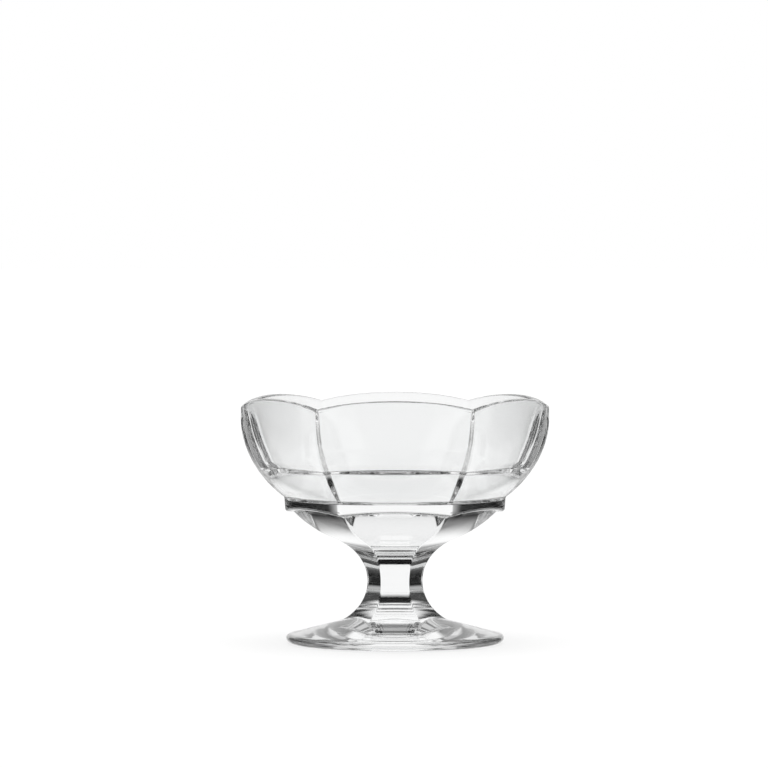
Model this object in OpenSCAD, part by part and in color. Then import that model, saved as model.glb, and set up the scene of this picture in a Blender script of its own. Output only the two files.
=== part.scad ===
// Footed ice-cream coupe in pressed clear glass: a six-lobed bowl with a scalloped rim and a belt,
// with a ledge and a six-sided cup inside it and a solid six-sided base under it, on a waisted
// six-sided stem and a round foot. Millimetres, +Z up, with the origin on the table under the middle
// of the foot. The middle of one panel faces -Y.

/* [Rim and wall] */
// Height of the rim at the middle of a panel
rim_z = 92; // [88:0.5:104]
// Distance from the axis to the middle of a panel at the rim
rim_reach = 53.6; // [50:0.1:58]
// Drop of the rim from the middle of a panel to its corners
rim_dip = 3.1; // [1:0.1:5]
// Distance behind the axis of the centre that a panel is curved about in plan
panel_centre = 60; // [35:1:90]
// Share of the height from belt to rim, at the top, over which the wall stands upright
upright_share = 0.1435; // [0.1:0.0005:0.18]
// Radius of the wall's outer curve, seen from the side
wall_curve = 40; // [38:0.5:46]
// Thickness of the wall at the rim
rim_wall = 2.6; // [2:0.1:4]
// Thickness of the wall at the height of the ledge, at the middle of a panel
ledge_wall = 3.9; // [3:0.1:5]

/* [Belt] */
// Distance from the axis to the middle of a panel on the belt
belt_reach = 38.1; // [36:0.1:41]
// Height of the belt's underside at the middle of a panel
belt_z = 50.2; // [48:0.1:52]
// Drop of the belt's underside from the middle of a panel to its corners
belt_dip = 1.3; // [0.5:0.1:2.5]

/* [Cup and base] */
// Share of the height from belt to rim at which the ledge lies, around the mouth of the cup
mouth_share = 0.39; // [0.34:0.002:0.44]
// Distance from the axis to a flat of the cup's mouth
mouth_reach = 41; // [39:0.1:42]
// Lean of the cup's flats from upright, in degrees
cup_draft = 27.5; // [24:0.5:31]
// Height of the cup's flat bottom above the belt's underside
floor_rise = 1.3; // [0.5:0.1:3]
// Radius of the base's outer curve, seen from the side
base_curve = 39.5; // [38:0.5:44]

/* [Stem] */
// Distance from the axis to a flat at the waist
waist_reach = 9; // [7:0.1:11]
// Height of the waist
waist_z = 23; // [22:0.5:24]
// Radius of the waist's curve, seen from the side
flare_curve = 17; // [16:0.5:18]
// Slope of the flats where the stem's curve turns into the base's, in degrees
turn_slope = 24; // [20:1:28]
// Height of the weld between the bowl and the stem
bowl_weld_z = 30; // [28:0.5:32]
// Distance from the axis at which the lower flare's flats end
flare_reach = 18; // [15:0.5:20]

/* [Foot] */
// Diameter of the foot
foot_d = 81.4; // [76:0.2:90]
// Radius of the rounded edge of the foot
foot_edge = 1.7; // [1.2:0.1:2.2]
// Slope of the top of the foot, in degrees
foot_slope = 15; // [12:0.5:18]
// Height of the weld between the stem and the foot
foot_weld_z = 6.5; // [5.5:0.1:7.5]
// Width of the ring that stands on the table
ring_w = 3; // [2:0.5:6]
// Depth of the hollow under the foot
hollow = 1.5; // [0.5:0.1:2.5]

/* [Hidden] */
$fn = 180;
panels = 6;
half_angle = 180 / panels;
// Room by which cutters and fillers reach past what they cut or fill
past = 1;

// Radius of a panel's corner where its middle lies this far from the axis
function corner(reach) = -panel_centre * cos(half_angle)
    + sqrt(pow(reach + panel_centre, 2) - pow(panel_centre * sin(half_angle), 2));
// Radius of an arc that drops this far over half of this chord
function arch(half_chord, drop) = (pow(half_chord, 2) + pow(drop, 2)) / (2 * drop);

bowl_h = rim_z - belt_z;
upright_z = rim_z - upright_share * bowl_h;
mouth_z = belt_z + mouth_share * bowl_h;
floor_z = belt_z + floor_rise;
rim_arch = arch(corner(rim_reach) * sin(half_angle), rim_dip);
belt_arch = arch(corner(belt_reach) * sin(half_angle), belt_dip);

// Inner curve of the wall: upright at the rim's inside and ledge_wall thick at the ledge's height
inner_reach = rim_reach - rim_wall;
wall_at_ledge = rim_reach - wall_curve + sqrt(pow(wall_curve, 2) - pow(upright_z - mouth_z, 2));
inner_curve = arch(rim_z - mouth_z, inner_reach - (wall_at_ledge - ledge_wall));

// Centres of the side view's curves
flare_x = waist_reach + flare_curve;
base_x = flare_x - (flare_curve + base_curve) * sin(turn_slope);
base_mid_z = waist_z + (flare_curve + base_curve) * cos(turn_slope);
turn_x = flare_x - flare_curve * sin(turn_slope);
turn_z = waist_z + flare_curve * cos(turn_slope);

// The top of the foot is a cone that leaves the rounded edge smoothly
edge_x = foot_d / 2 - foot_edge;
cone_x = edge_x + foot_edge * sin(foot_slope);
cone_z = foot_edge + foot_edge * cos(foot_slope);
function cone_r(z) = cone_x - (z - cone_z) / tan(foot_slope);
// The cone runs on up inside the stem, to the middle of its flare
cone_top_z = cone_z + (cone_x - waist_reach) * tan(foot_slope);

// A side view, reach across and height up, turned about each panel's own centre: where the turned
// solids overlap is the lobed form, and its corners are where they meet
module lobes() {
    intersection_for (k = [0 : panels - 1])
        rotate(k * 2 * half_angle - 90)
            translate([-panel_centre, 0, 0])
                rotate_extrude()
                    translate([panel_centre, 0])
                        children();
}

// A side view drawn straight across, from flat to flat: where the bars overlap is the six-sided form
module flats() {
    intersection_for (k = [0 : panels / 2 - 1])
        rotate(k * 2 * half_angle - 90)
            rotate([90, 0, 0])
                linear_extrude(height = 4 * rim_reach, center = true)
                    for (side = [0, 1])
                        mirror([side, 0])
                            children();
}

// Cylinders lying along the panels' middles, with their tops at this height: above the part's edges
// their union is an arch over each panel
module arches(z, radius) {
    for (k = [0 : panels - 1])
        rotate(k * 2 * half_angle - 90)
            translate([belt_reach / 2, 0, z - radius])
                rotate([0, 90, 0])
                    cylinder(r = radius, h = 2 * rim_reach);
}

// A side view's block out to this reach, between two heights
module block(reach, z0, z1) {
    translate([-panel_centre, z0])
        square([panel_centre + reach, z1 - z0]);
}

// Outside of the wall and the belt
module wall_outline() {
    block(rim_reach, upright_z, rim_z + past);
    block(belt_reach, belt_z - belt_dip - past, upright_z);
    intersection() {
        translate([rim_reach - wall_curve, upright_z])
            circle(wall_curve);
        block(rim_reach, belt_z, upright_z + past);
    }
}

// Hollow inside the wall, down to the ledge
module hollow_outline() {
    block(inner_reach, rim_z - past, rim_z + 2 * past);
    block(mouth_reach, mouth_z, rim_z);
    intersection() {
        translate([inner_reach - inner_curve, rim_z])
            circle(inner_curve);
        block(inner_reach, mouth_z, rim_z);
    }
}

// Outside of the base, from inside the neck up into the belt
module base_outline() {
    intersection() {
        translate([base_x, base_mid_z])
            circle(base_curve);
        translate([-past, turn_z - past])
            square([past + belt_reach, belt_z - turn_z + 2 * past]);
    }
}

// Outside of the neck, from the weld up to where its curve meets the base's
module neck_outline() {
    difference() {
        translate([-past, bowl_weld_z])
            square([past + turn_x, turn_z - bowl_weld_z]);
        translate([flare_x, waist_z])
            circle(flare_curve);
    }
}

// Hollow inside the cup, from its flat bottom up through the ledge
module cup_hollow_outline() {
    polygon([
        [-past, floor_z],
        [mouth_reach - (mouth_z - floor_z) * tan(cup_draft), floor_z],
        [mouth_reach, mouth_z],
        [mouth_reach, mouth_z + past],
        [-past, mouth_z + past]
    ]);
}

module bowl() {
    color("lightcyan", 0.6)
        difference() {
            union() {
                difference() {
                    lobes() wall_outline();
                    arches(belt_z, belt_arch);
                }
                flats() base_outline();
                flats() neck_outline();
            }
            lobes() hollow_outline();
            flats() cup_hollow_outline();
            difference() {
                translate([0, 0, rim_z - rim_dip - past])
                    cylinder(r = 1.5 * rim_reach, h = rim_dip + 3 * past);
                arches(rim_z, rim_arch);
            }
        }
}

// One side of the stem's side view, from the axis to the flats
module stem_outline() {
    difference() {
        translate([-past, foot_weld_z])
            square([past + flare_reach, bowl_weld_z - foot_weld_z]);
        translate([flare_x, waist_z])
            circle(flare_curve);
    }
}

module stem() {
    color("lightcyan", 0.6) {
        flats() stem_outline();
        translate([0, 0, foot_weld_z])
            rotate(half_angle / 2)
                cylinder(r1 = cone_r(foot_weld_z), r2 = waist_reach, h = cone_top_z - foot_weld_z);
    }
}

module foot() {
    ring_x = edge_x - ring_w;
    sag = arch(ring_x, hollow);
    color("lightcyan", 0.6)
        rotate_extrude()
            difference() {
                union() {
                    polygon([
                        [0, 0],
                        [edge_x, 0],
                        [cone_x, cone_z],
                        [cone_r(foot_weld_z), foot_weld_z],
                        [0, foot_weld_z]
                    ]);
                    translate([edge_x, foot_edge])
                        circle(foot_edge);
                }
                translate([0, hollow - sag])
                    circle(sag);
            }
}

bowl();
stem();
foot();
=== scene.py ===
"""Looks of the footed ice-cream coupe: bowl, stem and foot of clear pressed glass, fused at two welds.

Each piece is a side view turned about the glass's axis. Its rows are then moved to the form they have
around the glass: lobed panels on the bowl, six flats on its base, in its cup and on the stem, and a round
foot. Sizes are in millimetres, apart from names that end in _M, and become metres when a piece is made.
"""

import math

import bmesh
import bpy
import numpy as np
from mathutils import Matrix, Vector


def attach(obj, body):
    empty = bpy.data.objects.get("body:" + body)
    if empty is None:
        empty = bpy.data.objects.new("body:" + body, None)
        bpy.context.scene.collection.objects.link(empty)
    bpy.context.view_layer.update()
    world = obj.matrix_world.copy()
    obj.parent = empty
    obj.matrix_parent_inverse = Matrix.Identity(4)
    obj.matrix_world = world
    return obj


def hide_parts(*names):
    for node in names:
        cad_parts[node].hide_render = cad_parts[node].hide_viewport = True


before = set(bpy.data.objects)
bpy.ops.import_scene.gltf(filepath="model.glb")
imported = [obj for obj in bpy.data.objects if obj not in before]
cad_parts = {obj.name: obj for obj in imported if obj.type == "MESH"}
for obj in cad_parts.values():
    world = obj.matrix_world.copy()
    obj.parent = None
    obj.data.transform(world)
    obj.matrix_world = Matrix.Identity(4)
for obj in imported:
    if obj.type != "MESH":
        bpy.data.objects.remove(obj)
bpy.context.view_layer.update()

MM = 0.001
PANELS = 6
# Angle from a panel's middle to its corner
HALF = math.pi / PANELS
# Faces around each panel, and how strongly they crowd towards its corners
STEPS, CROWDING = 40, 1.9
# How far behind the axis the panels' centre lies in a row that is as good as round, or as good as six flats
ROUND, FLAT = 0.01, 1e4
# The least that a panel is taken to bulge, so that nothing is divided by 0
LEAST_BULGE = 1e-4
# Steps around a rounded corner of a side view, and the share of a side that the rounding may take up
CORNER_STEPS, SIDE_SHARE = 8, 0.49
# Edges that turn by more than this are shaded as sharp
SHARP_TURN = math.radians(30)
# Points closer than this are merged
MERGE_M = 1e-6

# Rim and wall. A reach is measured to a panel's middle, and a dip is the drop from there to its corners
RIM_REACH, RIM_Z, RIM_DIP = 53.6, 92.0, 3.1
LIP_HALF, LIP_HEIGHT = 1.3, 1.3
PANEL_CENTRE = 60.0
WALL_CURVE, UPRIGHT_Z = 40.0, 86.0
# Height at which the wall starts to dip, and the rise over which it comes to the rim's dip
WALL_DIP_Z, WALL_DIP_RISE = 55.0, 35.6
# How far the ridges between the panels are rounded, by height
RIDGE_HEIGHTS, RIDGE_ROUNDS = [50, 72, 90], [2, 2, 1.5]

# Belt. Its dip fades out over the height BELT_DIP_FADE and ends at BELT_DIP_Z
BELT_REACH, BELT_Z, BELT_DIP = 38.1, 50.2, 1.3
BELT_DIP_Z, BELT_DIP_FADE = 55.2, 4.0
# How far out from the base the belt's underside starts, and how far that corner is rounded
BELT_START, BELT_START_ROUND = 0.5, 0.6
# Side view of the belt from the outer end of its underside up: a point, and how far it is rounded there
BELT_OUTSIDE = [
    ((BELT_REACH - 0.4, BELT_Z + 0.1), 1.4),
    ((BELT_REACH, 54.6), 1.4),
    ((BELT_REACH + 2.5, 56.6), 0),
]
WALL_START_REACH = BELT_REACH + 0.5

# Base. Its curve runs between two angles, in degrees below level, from the neck's curve up towards the belt,
# and stops short of the belt's underside
BASE_X, BASE_MID_Z, BASE_CURVE = 3.02, 74.62, 39.5
NECK_ANGLE, BASE_ANGLE = 66, 36
BASE_STOP = 1.0
# How much rounder the base's ridges become than the stem's, and over how many rows
BASE_RIDGE_GAIN, BASE_RIDGE_ROWS = 1.2, 6

# Inside of the wall, from the ledge up: height, reach at a panel's middle and at its corners, how much lower
# the corners lie, and how far they are rounded
WALL_INSIDE = [
    (69.0, 46.3, 48.3, 0, 2),
    (73.4, 48.2, 50.6, 0, 3),
    (82.8, 50.6, 53.4, 0.8, 3),
    (90.6, 51.0, 55.0, 3.1, 2),
]
# Inside of the cup, from the ledge down: reach at a panel's middle, height, reach at its corners, their
# height and how far they are rounded; then how far the side view is rounded there
CUP_INSIDE = [
    ((45.2, 67.2, 47.0, 66.9, 1.5), 1.5),
    ((42.5, 66.0, 45.6, 66.3, 1.5), 1.5),
    ((34.4, 55.2, 39.2, 55.2, 1.0), 1),
    ((33.2, 53.4, 37.4, 53.4, 1.5), 1),
    ((0.0, 53.4, 0.0, 53.4, 0.0), 0),
]
# Widest gap between rows of the cup, and the largest share of a reach by which a corner inside is rounded
CUP_GAP, RIDGE_SHARE = 0.6, 0.45
# How many rows the stretches of the bowl's side view have
NECK_ROWS, BASE_ROWS, WALL_ROWS, LIP_ROWS, INSIDE_ROWS = 18, 22, 34, 12, 60

# Stem. Below FLATS_END_Z its flats lie inside the foot's cone
BOWL_WELD_Z, FOOT_WELD_Z = 30.0, 6.5
FLARE_X, WAIST_Z, FLARE_CURVE = 26.0, 23.0, 17.0
FLATS_END_Z = 8.5
STEM_RIDGE = 0.8
STEM_ROWS = 60

# Foot. Its side view runs down its cone, around its edge and its standing ring, and into the hollow under it
CONE_X, CONE_Z, CONE_SLOPE = 39.44, 3.34, math.radians(15)
CONE_ROWS = 11
FOOT_EDGE = [(40.1, 3.0), (40.55, 2.5), (40.7, 1.9), (40.6, 1.3), (40.2, 0.7), (39.6, 0.25), (38.8, 0.03)]
FOOT_RING = [(37.5, 0), (36.6, 0), (36, 0.08)]
FOOT_HOLLOW = [(34, 0.3), (30, 0.5), (24, 0.85), (15, 1.25), (8, 1.42), (0, 1.5)]

# Rows between which a piece is fused to the next one
FIRST_TWO, LAST_TWO = (0, 1), (-2, -1)

# Floor, and the distances from the axis between which the painted shadow under the foot clears
FLOOR_HALF_M, FLOOR_DROP_M = 30, 0.0003
PAINTED_SHADOW_DARK_M, PAINTED_SHADOW_CLEAR_M = 0.018, 0.034
FLOOR_GLOW = 0.82
# Windows of the studio: two angles around the axis, counted both ways from behind the glass, two angles of
# height, all in degrees, and how bright the window is
WINDOWS = [
    (-10, 28, -70, 58, 1.0),
    (28, 114, -62, -36, 0.75),
    (33, 60, -40, -15, 0.45),
    (47, 114, -62, -21, 0.75),
    (80, 114, -25, 22, 0.5),
    (114, 158, -60, 60, 0.7),
    (158, 190, -60, 60, 0.3),
]
SOFT_EDGE = math.radians(4)
GAP_LIGHT = 0.01
# Camera, where it aims, and the size that one pixel of the photo has at the glass
CAMERA_AT, CAMERA_AIM = Vector((0, -1680, 147.2)), Vector((-4.1, 0, 96.6))
PHOTO_PIXELS, PIXEL = 768, 0.373
# How often light is followed from face to face of the glass
BOUNCES = 32
# Colour sockets of a Mix node, which share their names with its other sockets
MIX_FACTOR, MIX_FIRST, MIX_SECOND, MIX_RESULT = 0, 6, 7, 2


def evenly(start, end, count):
    """Values from start to end in this many even steps."""
    return [start + (end - start) * i / count for i in range(count + 1)]


def arc(cx, cz, radius, start, end, count):
    """Points of a side view along an arc, angles in degrees."""
    turns = [math.radians(t) for t in evenly(start, end, count)]
    return [(cx + radius * math.cos(t), cz + radius * math.sin(t)) for t in turns]


def rounded(corners):
    """Points of a side view with its corners rounded; a corner is a point and how far it is rounded."""
    points = [np.array(point, float) for point, size in corners]
    sizes = [size for point, size in corners]
    line = [points[0]]
    for before, at, after, size in zip(points, points[1:], points[2:], sizes[1:]):
        there, on = np.linalg.norm(at - before), np.linalg.norm(after - at)
        turn = math.acos(max(-1.0, min(1.0, (at - before) @ (after - at) / there / on)))
        cut = min(size * math.tan(turn / 2), there * SIDE_SHARE, on * SIDE_SHARE)
        start, end = at + (before - at) * cut / there, at + (after - at) * cut / on
        for t in np.linspace(0, 1, CORNER_STEPS + 1):
            line.append(start * (1 - t) ** 2 + at * 2 * t * (1 - t) + end * t**2)
    return line + [points[-1]]


def smooth_line(stops, count):
    """Points of a smooth line from the last stop to the first; the stops' first values rise."""
    stops = np.array(stops, float)
    x, y = stops[:, 0], stops[:, 1:]
    gaps = np.diff(x)
    slopes = np.diff(y, axis=0) / gaps[:, None]
    links, pulls = np.eye(len(x)), np.zeros_like(y)
    for i in range(1, len(x) - 1):
        links[i, i - 1:i + 2] = gaps[i - 1], 2 * (gaps[i - 1] + gaps[i]), gaps[i]
        pulls[i] = 6 * (slopes[i] - slopes[i - 1])
    bends = np.linalg.solve(links, pulls)
    line = []
    for at in np.linspace(x[-1], x[0], count):
        i = min(len(gaps) - 1, max(0, int(np.searchsorted(x, at)) - 1))
        b = (at - x[i]) / gaps[i]
        a = 1 - b
        bend = ((a**3 - a) * bends[i] + (b**3 - b) * bends[i + 1]) * gaps[i]**2 / 6
        line.append((at, *(a * y[i] + b * y[i + 1] + bend)))
    return line


def spaced(points, gap):
    """The same points with more between those that lie further apart than a gap."""
    line = []
    for a, b in zip(points, points[1:]):
        count = max(1, int(np.linalg.norm((b - a)[:2]) / gap))
        line += [a + (b - a) * i / count for i in range(count)]
    return line + [points[-1]]


def circle_reach(angle, behind, radius):
    """Distance from the axis, at this angle, to a circle whose centre lies behind the axis."""
    return -behind * math.cos(angle) + math.sqrt(max(0.0, radius**2 - (behind * math.sin(angle)) ** 2))


def outline(angle, reach, centre, ridge):
    """Radius at this angle from a panel's middle, for panels curved about a centre behind the axis.

    The ridge between two panels is an arc that touches both, about a point on the line to their corner.
    """
    curve = reach + centre
    panel = circle_reach(angle, centre, curve)
    if ridge <= 0:
        return panel
    ridge_at = circle_reach(HALF, centre, curve - ridge)
    out = Vector((ridge_at * math.cos(HALF) + centre, ridge_at * math.sin(HALF)))
    touch = out.normalized() * curve - Vector((centre, 0))
    if angle <= math.atan2(touch.y, touch.x):
        return panel
    return circle_reach(HALF - angle, -ridge_at, ridge)


def panel_centre(reach, corner):
    """How far behind the axis the panels' centre lies, from the reach of their middle and corners."""
    corner = min(max(corner, reach), reach / math.cos(HALF))
    bulge = max(LEAST_BULGE, 2 * (reach - corner * math.cos(HALF)))
    return max(ROUND, min(FLAT, (corner**2 - reach**2) / bulge))


def ridge_round(z):
    """How far the ridges between the panels are rounded at a height."""
    return float(np.interp(z, RIDGE_HEIGHTS, RIDGE_ROUNDS))


def flare_reach(z):
    """Reach of the stem's flats at a height."""
    return FLARE_X - math.sqrt(max(0.0, FLARE_CURVE**2 - (z - WAIST_Z) ** 2))


def cone_reach(z):
    """Radius of the foot's cone at a height."""
    return CONE_X - (z - CONE_Z) / math.tan(CONE_SLOPE)


def level(radius, z):
    """Round row."""
    return lambda angle: (radius, z)


def lobed(reach, z, centre, ridge, dip=0.0):
    """Row of a panelled form, whose height drops by dip from a panel's middle to its corners."""
    def place(angle):
        return outline(angle, reach, centre, ridge), z - dip * (math.tan(angle) / math.tan(HALF)) ** 2
    return place


def waisted(z):
    """Row of the stem, whose six flats run out onto the foot's cone."""
    def place(angle):
        flats = outline(angle, flare_reach(z), FLAT, STEM_RIDGE) if z > FLATS_END_Z else 0.0
        return max(flats, cone_reach(z)), z
    return place


def bowl_outside():
    """Rows from the weld up the neck, the base, the belt and the wall, and over the lip."""
    rows = [level(0, BOWL_WELD_Z)]
    weld_angle = math.degrees(math.asin((BOWL_WELD_Z - WAIST_Z) / FLARE_CURVE))
    for r, z in arc(FLARE_X, WAIST_Z, FLARE_CURVE, 180 - weld_angle, 180 - NECK_ANGLE, NECK_ROWS):
        rows.append(lobed(r, z, FLAT, STEM_RIDGE))
    base = arc(BASE_X, BASE_MID_Z, BASE_CURVE, -NECK_ANGLE, -BASE_ANGLE, BASE_ROWS)[1:]
    base = [(r, z) for r, z in base if z < BELT_Z - BASE_STOP]
    for i, (r, z) in enumerate(base):
        rows.append(lobed(r, z, FLAT, STEM_RIDGE + BASE_RIDGE_GAIN * min(1, i / BASE_RIDGE_ROWS)))
    r, z = base[-1]
    belt = rounded([((r, z), 0), ((r + BELT_START, BELT_Z), BELT_START_ROUND)] + BELT_OUTSIDE)
    for r, z in belt[1:-1]:
        dip = BELT_DIP * max(0.0, min(1.0, (BELT_DIP_Z - z) / BELT_DIP_FADE))
        rows.append(lobed(r, z, PANEL_CENTRE, ridge_round(z), dip))
    wall_angle = -math.degrees(math.acos((WALL_START_REACH - RIM_REACH + WALL_CURVE) / WALL_CURVE))
    for r, z in arc(RIM_REACH - WALL_CURVE, UPRIGHT_Z, WALL_CURVE, wall_angle, 0, WALL_ROWS):
        dip = RIM_DIP * max(0.0, (z - WALL_DIP_Z) / WALL_DIP_RISE) ** 2
        rows.append(lobed(r, z, PANEL_CENTRE, ridge_round(z), dip))
    for across, up in arc(0, 0, 1, 0, 180, LIP_ROWS):
        r, z = RIM_REACH - LIP_HALF + LIP_HALF * across, RIM_Z - LIP_HEIGHT + LIP_HEIGHT * up
        rows.append(lobed(r, z, PANEL_CENTRE, ridge_round(RIM_Z), RIM_DIP))
    return rows


def bowl_inside():
    """Rows from the lip down the wall, over the ledge and down the cup to the middle of its flat bottom."""
    wall = [np.array((reach, z, corner, z - drop, ridge))
            for z, reach, corner, drop, ridge in smooth_line(WALL_INSIDE, INSIDE_ROWS)]
    cup = spaced(rounded([(wall[-1], 0)] + CUP_INSIDE), CUP_GAP)
    rows = []
    for reach, z, corner, corner_z, ridge in wall + cup[1:-1]:
        ridge = min(ridge, RIDGE_SHARE * reach)
        rows.append(lobed(reach, z, panel_centre(reach, corner), ridge, z - corner_z))
    bottom_z = cup[-1][1]
    return rows + [level(0, bottom_z)]


def stem_rows():
    """Rows from the bowl's weld down to the foot's."""
    side = [waisted(z) for z in evenly(BOWL_WELD_Z, FOOT_WELD_Z, STEM_ROWS)]
    return [level(0, BOWL_WELD_Z)] + side + [level(0, FOOT_WELD_Z)]


def foot_rows():
    """Rows from the weld down the cone, around the edge and in under the foot."""
    cone = [level(cone_reach(z), z) for z in evenly(FOOT_WELD_Z, CONE_Z, CONE_ROWS)]
    under = [level(r, z) for r, z in FOOT_EDGE + FOOT_RING + FOOT_HOLLOW]
    return [level(0, FOOT_WELD_Z)] + cone + under


def placed(name, data):
    """An object in the scene with this data."""
    thing = bpy.data.objects.new(name, data)
    bpy.context.scene.collection.objects.link(thing)
    return thing


def placed_mesh(name, bm):
    """An object in the scene with the mesh that a bmesh holds."""
    mesh = bpy.data.meshes.new(name)
    bm.to_mesh(mesh)
    bm.free()
    return placed(name, mesh)


def turned(name, rows, welds):
    """A piece whose side view is turned about the axis, with each row moved to its own form.

    Each weld is a pair of rows, and the faces between the two get the piece's second material.
    """
    fused = [{row % len(rows) for row in pair} for pair in welds]
    bm = bmesh.new()
    order = bm.verts.layers.int.new("row")
    line = []
    for i, row in enumerate(rows):
        radius, z = row(0.0)
        line.append(bm.verts.new((0, -radius, z)))
        line[-1][order] = i
    edges = [bm.edges.new(pair) for pair in zip(line, line[1:])]
    bmesh.ops.spin(bm, geom=line + edges, cent=(0, 0, 0), axis=(0, 0, 1), angle=2 * math.pi,
                   steps=PANELS * STEPS, use_merge=True)
    for v in bm.verts:
        turn = math.atan2(v.co.x, -v.co.y)
        middle = round(turn / (2 * HALF)) * 2 * HALF
        share = min(1.0, abs(turn - middle) / HALF)
        angle = HALF * (1 - (1 - share) ** CROWDING)
        radius, z = rows[v[order]](angle)
        turn = middle + math.copysign(angle, turn - middle)
        v.co = Vector((radius * math.sin(turn), -radius * math.cos(turn), z)) * MM
    for face in bm.faces:
        face.smooth = True
        if any({v[order] for v in face.verts} <= pair for pair in fused):
            face.material_index = 1
    bmesh.ops.remove_doubles(bm, verts=bm.verts, dist=MERGE_M)
    bmesh.ops.recalc_face_normals(bm, faces=bm.faces)
    for edge in bm.edges:
        sides = edge.link_faces
        if len(sides) == 2 and (sides[0].material_index != sides[1].material_index
                                or edge.calc_face_angle() > SHARP_TURN):
            edge.smooth = False
    return placed_mesh(name, bm)


class Wire:
    """A node's output that adds Math nodes when it is reckoned with."""

    def __init__(self, tree, socket):
        self.tree, self.socket = tree, socket

    def math(self, operation, *others):
        """What a Math node makes of this and the other values."""
        return made(self.tree, "ShaderNodeMath", {"operation": operation}, dict(enumerate((self, *others))))

    def __add__(self, other):
        return self.math("ADD", other)

    def __sub__(self, other):
        return self.math("SUBTRACT", other)

    def __mul__(self, other):
        return self.math("MULTIPLY", other)

    def __radd__(self, other):
        return self + other

    def __rsub__(self, other):
        return self * -1 + other

    def __rmul__(self, other):
        return self * other

    def ramp(self, low, high):
        """0 at low and 1 at high, smoothly."""
        return made(self.tree, "ShaderNodeMapRange", {"interpolation_type": "SMOOTHSTEP"},
                    {"Value": self, "From Min": low, "From Max": high})

    def band(self, low, high):
        """1 between two angles in degrees and 0 beyond them, with soft edges."""
        low, high = math.radians(low), math.radians(high)
        past_low = self.ramp(low - SOFT_EDGE, low + SOFT_EDGE)
        past_high = self.ramp(high - SOFT_EDGE, high + SOFT_EDGE)
        return past_low * (1 - past_high)

    def blend(self, first, second):
        """The first colour where this is 0, and the second where it is 1."""
        return made(self.tree, "ShaderNodeMix", {"data_type": "RGBA"},
                    {MIX_FACTOR: self, MIX_FIRST: first, MIX_SECOND: second}, output=MIX_RESULT)


def made(tree, kind, settings=None, values=None, output=0):
    """A node with its settings and the values or links of its sockets; returns one output, if it has any."""
    node = tree.nodes.new(kind)
    for key, value in (settings or {}).items():
        setattr(node, key, value)
    for key, value in (values or {}).items():
        if isinstance(value, Wire):
            tree.links.new(value.socket, node.inputs[key])
        else:
            node.inputs[key].default_value = value
    return Wire(tree, node.outputs[output]) if node.outputs else None


def blank(data):
    """The emptied node tree of a material or a world."""
    data.use_nodes = True
    data.node_tree.nodes.clear()
    return data.node_tree


def clear_glass():
    """Fire-polished pressed glass: a faint cool tint, mould ripple and slightly uneven polish."""
    material = bpy.data.materials.new("clear_glass")
    tree = blank(material)
    place = made(tree, "ShaderNodeTexCoord", output="Object")
    ripple = made(tree, "ShaderNodeTexNoise", {}, {"Vector": place, "Scale": 70.0, "Detail": 1.0})
    polish = made(tree, "ShaderNodeTexNoise", {}, {"Vector": place, "Scale": 25.0, "Detail": 3.0})
    shader = made(tree, "ShaderNodeBsdfPrincipled", {}, {
        "Base Color": polish.blend((0.988, 0.996, 0.997, 1), (0.997, 1.0, 0.999, 1)),
        "Roughness": polish * 0.01,
        "IOR": 1.52,
        "Transmission Weight": 1.0,
        "Normal": made(tree, "ShaderNodeBump", {}, {"Strength": 0.15, "Distance": 0.0001, "Height": ripple}),
    })
    made(tree, "ShaderNodeOutputMaterial", {}, {"Surface": shader})
    return material


def fused_weld():
    """Face inside the glass where two pieces are fused, which light passes straight through."""
    material = bpy.data.materials.new("fused_weld")
    tree = blank(material)
    shader = made(tree, "ShaderNodeBsdfPrincipled", {}, {"Base Color": (1, 1, 1, 1), "Alpha": 0.0})
    made(tree, "ShaderNodeOutputMaterial", {}, {"Surface": shader})
    return material


def pale_floor():
    """Floor that is near white to the camera and keeps the glass's shadow.

    Through it the glass sees the studio's windows, darkened by a painted shadow under the foot.
    """
    bm = bmesh.new()
    bmesh.ops.create_grid(bm, x_segments=1, y_segments=1, size=FLOOR_HALF_M)
    bmesh.ops.translate(bm, verts=bm.verts, vec=(0, 0, -FLOOR_DROP_M))
    floor = placed_mesh("floor", bm)
    material = bpy.data.materials.new("pale_floor")
    tree = blank(material)
    to_camera = made(tree, "ShaderNodeLightPath", output="Is Camera Ray")
    matt = made(tree, "ShaderNodeBsdfDiffuse", {}, {"Color": (0.9, 0.9, 0.9, 1)})
    glow = made(tree, "ShaderNodeEmission", {}, {"Color": (1, 1, 1, 1), "Strength": 1.0})
    seen = made(tree, "ShaderNodeMixShader", {}, {0: FLOOR_GLOW, 1: matt, 2: glow})
    place = made(tree, "ShaderNodeTexCoord", output="Object")
    away = made(tree, "ShaderNodeVectorMath", {"operation": "LENGTH"}, {0: place}, output="Value")
    # Painted shadow under the foot: what the glass sees through the floor is darkened near the axis and
    # clears further out
    painted_shadow = away.ramp(PAINTED_SHADOW_DARK_M, PAINTED_SHADOW_CLEAR_M).blend((0.1, 0.1, 0.1, 1), (1, 1, 1, 1))
    through_it = made(tree, "ShaderNodeBsdfTransparent", {}, {"Color": painted_shadow})
    surface = made(tree, "ShaderNodeMixShader", {}, {0: to_camera, 1: through_it, 2: seen})
    made(tree, "ShaderNodeOutputMaterial", {}, {"Surface": surface})
    floor.data.materials.append(material)


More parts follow.
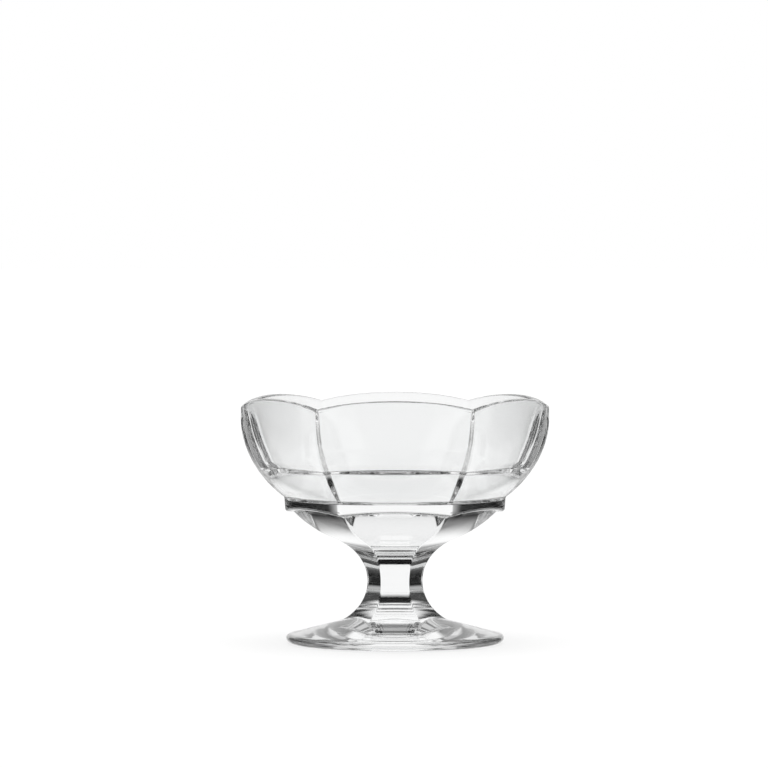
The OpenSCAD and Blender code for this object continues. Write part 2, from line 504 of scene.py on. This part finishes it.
def studio():
    """White to the camera; to the glass, bright windows between dark gaps, which draw its edges."""
    world = bpy.data.worlds.new("studio")
    bpy.context.scene.world = world
    tree = blank(world)
    way = made(tree, "ShaderNodeTexCoord", output="Generated")
    x, y, z = (made(tree, "ShaderNodeSeparateXYZ", {}, {0: way}, output=axis) for axis in "XYZ")
    around = x.math("ARCTAN2", y).math("ABSOLUTE")
    height = z.math("ARCSINE")
    windows = [around.band(left, right) * height.band(low, high) * brightness
               for left, right, low, high, brightness in WINDOWS]
    light = windows[0]
    for window in windows[1:]:
        light = light.math("MAXIMUM", window)
    light = light * (1 - GAP_LIGHT) + GAP_LIGHT
    to_camera = made(tree, "ShaderNodeLightPath", output="Is Camera Ray")
    strength = light.math("MAXIMUM", to_camera)
    sky = made(tree, "ShaderNodeBackground", {}, {"Color": (1, 1, 1, 1), "Strength": strength})
    made(tree, "ShaderNodeOutputWorld", {}, {"Surface": sky})


def overhead_light():
    """Wide soft light from above that lays the shadow on the floor."""
    light = bpy.data.lights.new("overhead", "SUN")
    light.energy = 3.5
    light.angle = math.radians(50)
    lamp = placed("overhead", light)
    lamp.visible_glossy = False
    lamp.visible_transmission = False


def camera():
    """Long lens, a little above the rim, as in the photo."""
    data = bpy.data.cameras.new("camera")
    data.sensor_width = 36
    data.lens = data.sensor_width * -CAMERA_AT.y / (PHOTO_PIXELS * PIXEL)
    data.clip_end = 100
    view = placed("camera", data)
    view.location = CAMERA_AT * MM
    view.rotation_mode = "QUATERNION"
    view.rotation_quaternion = (CAMERA_AIM * MM - view.location).to_track_quat("-Z", "Y")
    bpy.context.scene.camera = view


glass, weld = clear_glass(), fused_weld()
for node, rows, welds in (
    ("bowl", bowl_outside() + bowl_inside(), [FIRST_TWO]),
    ("stem", stem_rows(), [FIRST_TWO, LAST_TWO]),
    ("foot", foot_rows(), [FIRST_TWO]),
):
    piece = turned(node + "_glass", rows, welds)
    piece.data.materials.append(glass)
    piece.data.materials.append(weld)
    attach(piece, "root")
    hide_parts(node)

pale_floor()
studio()
overhead_light()
camera()
scene = bpy.context.scene
scene.view_settings.view_transform = "Standard"
scene.cycles.max_bounces = BOUNCES
scene.cycles.transmission_bounces = BOUNCES
scene.cycles.glossy_bounces = BOUNCES
scene.cycles.transparent_max_bounces = BOUNCES
